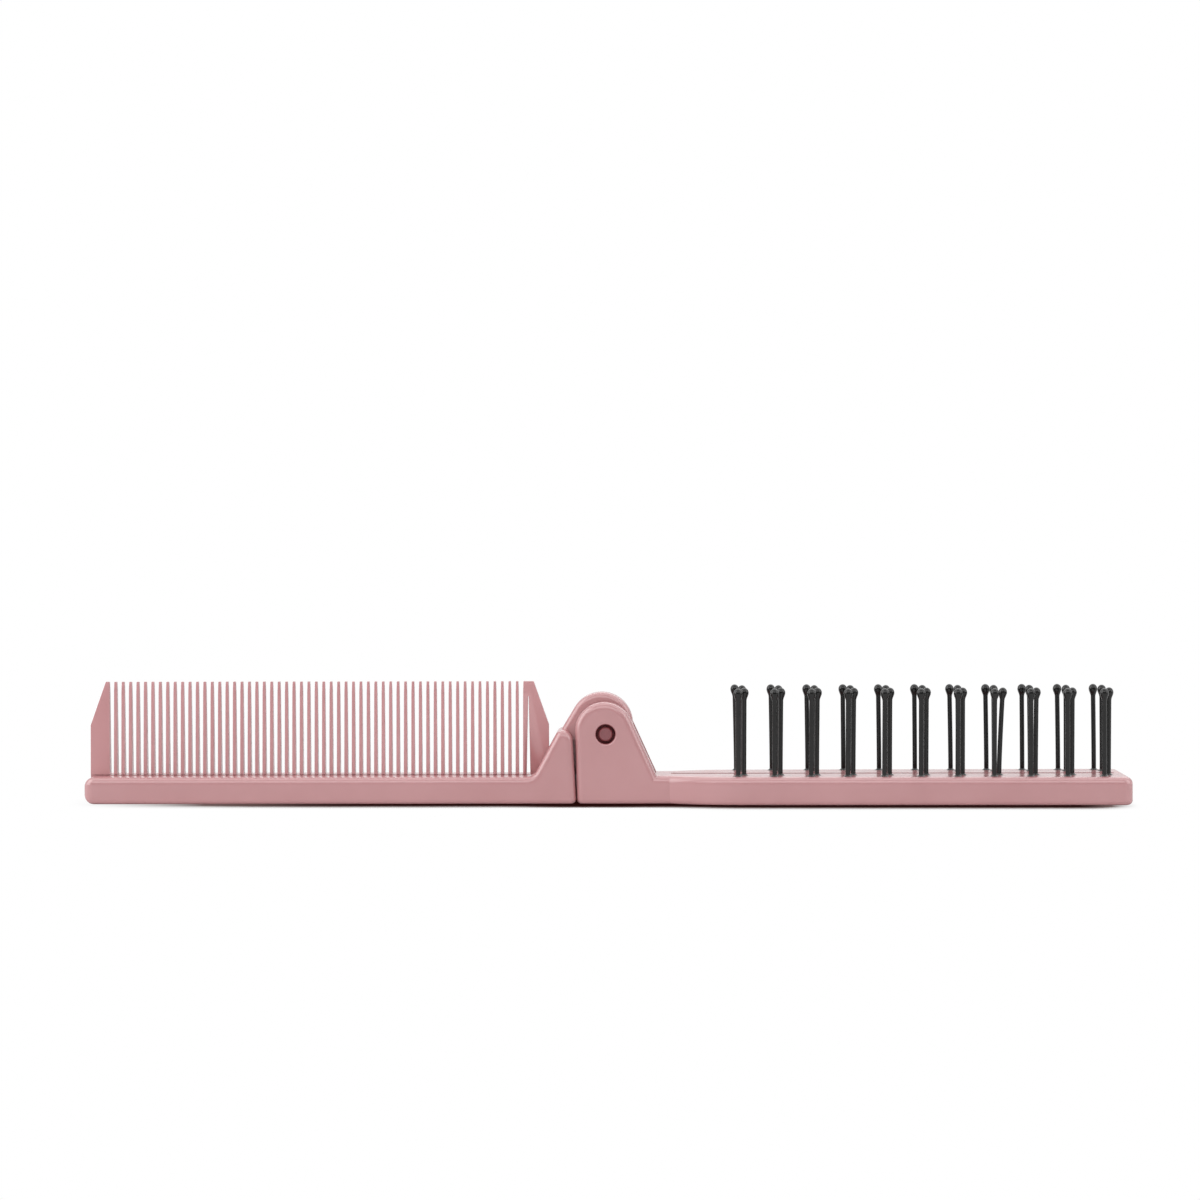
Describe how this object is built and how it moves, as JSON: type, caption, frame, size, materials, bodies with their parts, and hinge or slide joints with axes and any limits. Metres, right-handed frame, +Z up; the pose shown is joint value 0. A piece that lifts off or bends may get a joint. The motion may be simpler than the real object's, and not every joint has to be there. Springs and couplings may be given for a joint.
{
  "type": "folding travel brush",
  "caption": "Folding travel brush: a fine-toothed comb and a ball-pin brush of pink plastic that fold face to face on one hinge, with the comb's teeth between the pins.",
  "frame": {"origin": "centre of the open object's outline, on the surface that it lies on", "axes": "+X along the open object from the comb to the brush, +Y across it and away from the viewer of the picture, +Z up out of the teeth and pins"},
  "size_m": [0.202, 0.022, 0.0234],
  "materials": {
    "pink_plastic": "satin",
    "black_nylon": "gloss"
  },
  "bodies": {
    "brush": {"brush_body": "pink_plastic", "back_cover": "pink_plastic", "hinge_pin": "pink_plastic", "pin_near_outer_01": "black_nylon", "pin_near_outer_02": "black_nylon", "pin_near_outer_03": "black_nylon", "pin_near_outer_04": "black_nylon", "pin_near_outer_05": "black_nylon", "pin_near_outer_06": "black_nylon", "pin_near_outer_07": "black_nylon", "pin_near_outer_08": "black_nylon", "pin_near_outer_09": "black_nylon", "pin_near_outer_10": "black_nylon", "pin_near_outer_11": "black_nylon", "pin_near_inner_01": "black_nylon", "pin_near_inner_02": "black_nylon", "pin_near_inner_03": "black_nylon", "pin_near_inner_04": "black_nylon", "pin_near_inner_05": "black_nylon", "pin_near_inner_06": "black_nylon", "pin_near_inner_07": "black_nylon", "pin_near_inner_08": "black_nylon", "pin_near_inner_09": "black_nylon", "pin_near_inner_10": "black_nylon", "pin_near_inner_11": "black_nylon", "pin_far_inner_01": "black_nylon", "pin_far_inner_02": "black_nylon", "pin_far_inner_03": "black_nylon", "pin_far_inner_04": "black_nylon", "pin_far_inner_05": "black_nylon", "pin_far_inner_06": "black_nylon", "pin_far_inner_07": "black_nylon", "pin_far_inner_08": "black_nylon", "pin_far_inner_09": "black_nylon", "pin_far_inner_10": "black_nylon", "pin_far_inner_11": "black_nylon", "pin_far_outer_01": "black_nylon", "pin_far_outer_02": "black_nylon", "pin_far_outer_03": "black_nylon", "pin_far_outer_04": "black_nylon", "pin_far_outer_05": "black_nylon", "pin_far_outer_06": "black_nylon", "pin_far_outer_07": "black_nylon", "pin_far_outer_08": "black_nylon", "pin_far_outer_09": "black_nylon", "pin_far_outer_10": "black_nylon", "pin_far_outer_11": "black_nylon"},
    "comb": {"comb_spine": "pink_plastic", "comb_blade": "pink_plastic"}
  },
  "joints": [
    {"name": "fold_hinge", "type": "hinge", "parent": "brush", "child": "comb", "pos_m": [0, 0, 0.01345], "axis": [0, 1, 0], "range_deg": [0, 178]}
  ]
}
